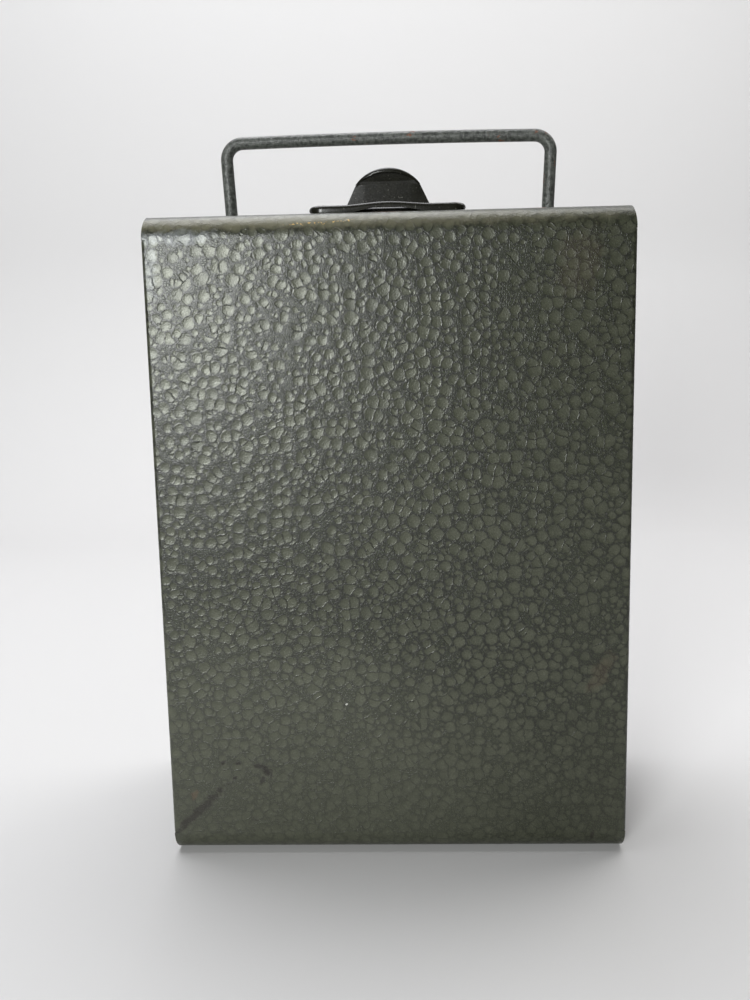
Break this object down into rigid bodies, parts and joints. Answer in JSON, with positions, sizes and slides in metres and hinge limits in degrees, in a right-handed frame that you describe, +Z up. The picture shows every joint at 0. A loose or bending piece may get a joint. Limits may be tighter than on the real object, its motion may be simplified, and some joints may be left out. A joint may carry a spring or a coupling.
{
  "type": "lunch box",
  "caption": "Upright painted sheet-steel lunch box with a shallow hinged lid as its front face, a snap hasp and a folding wire handle on top.",
  "frame": {"origin": "on the surface that the closed box stands on, under the middle of its width and depth", "axes": "+X to the right of the face, +Y from the face to the back, +Z up to the handle"},
  "size_m": [0.15, 0.08, 0.2399],
  "materials": {
    "hammered_paint": "hammered enamel, dark olive grey",
    "hasp_paint": "smooth dark gloss enamel",
    "handle_paint": "dark grey satin enamel",
    "inner_steel": "dull tinned steel",
    "pin_steel": "drawn steel wire",
    "rivet_steel": "set steel rivets, paint worn at the crowns"
  },
  "bodies": {
    "base": {"base_wrap": "hammered_paint", "base_end_left": "hammered_paint", "base_end_right": "hammered_paint", "base_lip": "inner_steel", "hinge_leaf_base": "inner_steel", "hinge_pin": "pin_steel", "catch_plate": "hasp_paint", "catch_rivets": "rivet_steel", "handle_saddle_left": "handle_paint", "handle_saddle_right": "handle_paint", "handle_saddle_rivets": "rivet_steel"},
    "lid": {"lid_wrap": "hammered_paint", "lid_end_left": "hammered_paint", "lid_end_right": "hammered_paint", "hinge_leaf_lid": "inner_steel", "hasp_plate": "hasp_paint", "hasp_plate_rivets": "rivet_steel", "hasp_pin": "pin_steel"},
    "hasp": {"hasp": "hasp_paint"},
    "handle": {"handle_bail": "handle_paint"}
  },
  "joints": [
    {"name": "lid_hinge", "type": "hinge", "parent": "base", "child": "lid", "pos_m": [0, -0.014, 0.00247], "axis": [1, 0, 0], "range_deg": [0, 110]},
    {"name": "hasp_hinge", "type": "hinge", "parent": "lid", "child": "hasp", "pos_m": [0, -0.024, 0.2089], "axis": [1, 0, 0], "range_deg": [0, 100]},
    {"name": "handle_swing", "type": "hinge", "parent": "base", "child": "handle", "pos_m": [0, 0.008, 0.20975], "axis": [1, 0, 0], "range_deg": [-88, 80]}
  ]
}
